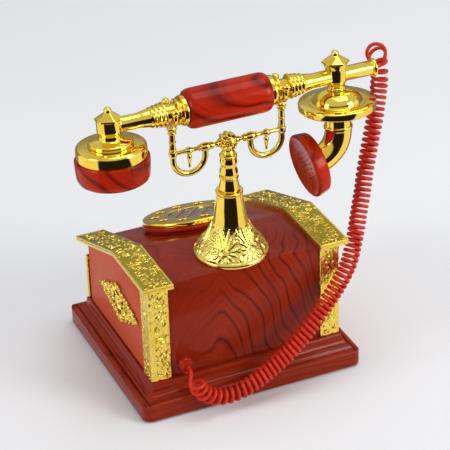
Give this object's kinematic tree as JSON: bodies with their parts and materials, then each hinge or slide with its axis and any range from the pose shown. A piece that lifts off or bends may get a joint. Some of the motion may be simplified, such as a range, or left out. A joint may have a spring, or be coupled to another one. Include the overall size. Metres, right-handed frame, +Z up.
{
  "type": "telephone",
  "caption": "Desk telephone in an old style: sloping body with a rotary dial, turned gilt column and cradle, handset with bent mouthpiece horn, and a curly cord.",
  "frame": {"origin": "on the table, below the middle of the plinth", "axes": "+X along the handset to the mouthpiece, +Y to the dial side, +Z up"},
  "size_m": [0.2395, 0.1667, 0.238],
  "materials": {
    "gilt": "polished",
    "gilt_relief": "embossed",
    "mahogany": "high gloss lacquer",
    "panel_brown": "gloss lacquer",
    "marbled_red": "high gloss",
    "cord_red": "gloss",
    "badge": "satin",
    "ivory": "gloss",
    "steel": "satin",
    "gong_brass": "satin",
    "rubber": "matte",
    "black_plastic": "satin",
    "board_green": "satin",
    "coil_copper": "enamelled"
  },
  "bodies": {
    "base": {"plinth": "mahogany", "base_plate": "steel", "feet": "rubber", "base_screws": "steel", "body_shell": "mahogany", "end_panels": "panel_brown", "back_pillars": "gilt_relief", "front_strips": "gilt_relief", "roof_cap_left": "gilt_relief", "roof_cap_right": "gilt_relief", "end_ornament_left": "gilt_relief", "end_ornament_right": "gilt_relief", "column_foot": "gilt", "column_sleeve": "gilt", "column_nut": "steel", "dial_ring": "mahogany", "number_plate": "ivory", "finger_stop": "gilt", "dial_frame": "steel", "return_spring_case": "steel", "pulse_contacts": "black_plastic", "gongs": "gong_brass", "gong_posts": "steel", "ringer_coils": "coil_copper", "circuit_board": "board_green", "terminal_block": "black_plastic", "hook_switch": "black_plastic", "line_jack": "black_plastic", "cord_bush": "marbled_red", "handset_cord": "cord_red", "hook_spring": "steel"},
    "dial_rotor": {"finger_wheel": "gilt", "dial_badge": "badge", "dial_grille": "gilt", "dial_shaft": "steel", "dial_gear": "gong_brass"},
    "governor": {"governor_rotor": "gong_brass"},
    "cradle": {"cradle_stem": "gilt", "cradle_rosette": "gilt", "cradle_crossbar": "gilt", "cradle_hooks": "gilt", "cradle_pendants": "gilt", "cradle_forks": "gilt", "stem_clip": "steel"},
    "clapper": {"clapper": "steel"},
    "handset": {"handset_tube": "gilt", "handset_grip": "marbled_red", "grip_ferrules": "gilt", "handset_collars": "gilt", "earpiece_post": "gilt", "handset_finials": "gilt", "earpiece_shell": "gilt", "earpiece_cap": "marbled_red", "receiver_capsule": "steel", "mouthpiece_post": "gilt", "mouthpiece_disc": "gilt", "mouthpiece_horn": "gilt", "mouthpiece_cup": "marbled_red", "transmitter_capsule": "steel", "cord_ferrule": "gilt"}
  },
  "joints": [
    {"name": "handset_lift", "type": "slide", "parent": "base", "child": "handset", "axis": [0, 0, 1], "range_m": [0, 0.12], "deforming": ["handset_cord"]},
    {"name": "cradle_hook", "type": "slide", "parent": "base", "child": "cradle", "axis": [0, 0, 1], "range_m": [0, 0.004], "deforming": ["hook_spring"]},
    {"name": "dial_turn", "type": "hinge", "parent": "base", "child": "dial_rotor", "pos_m": [0, 0.03082, 0.08598], "axis": [0, -0.3453, -0.9385], "range_deg": [0, 324], "stiffness_Nm_per_rad": 0.01},
    {"name": "governor_spin", "type": "hinge", "parent": "base", "child": "governor", "pos_m": [0, 0.04772, 0.07976], "axis": [0, -0.3453, -0.9385], "range_deg": [-1620, 0]},
    {"name": "clapper_swing", "type": "hinge", "parent": "base", "child": "clapper", "pos_m": [0, 0.01, 0.0275], "axis": [0, 1, 0], "range_deg": [-5, 5], "stiffness_Nm_per_rad": 0.02}
  ],
  "couplings": [
    {"joint": "cradle_hook", "follows": "handset_lift", "ratio": 0.0333},
    {"joint": "governor_spin", "follows": "dial_turn", "ratio": -5}
  ]
}
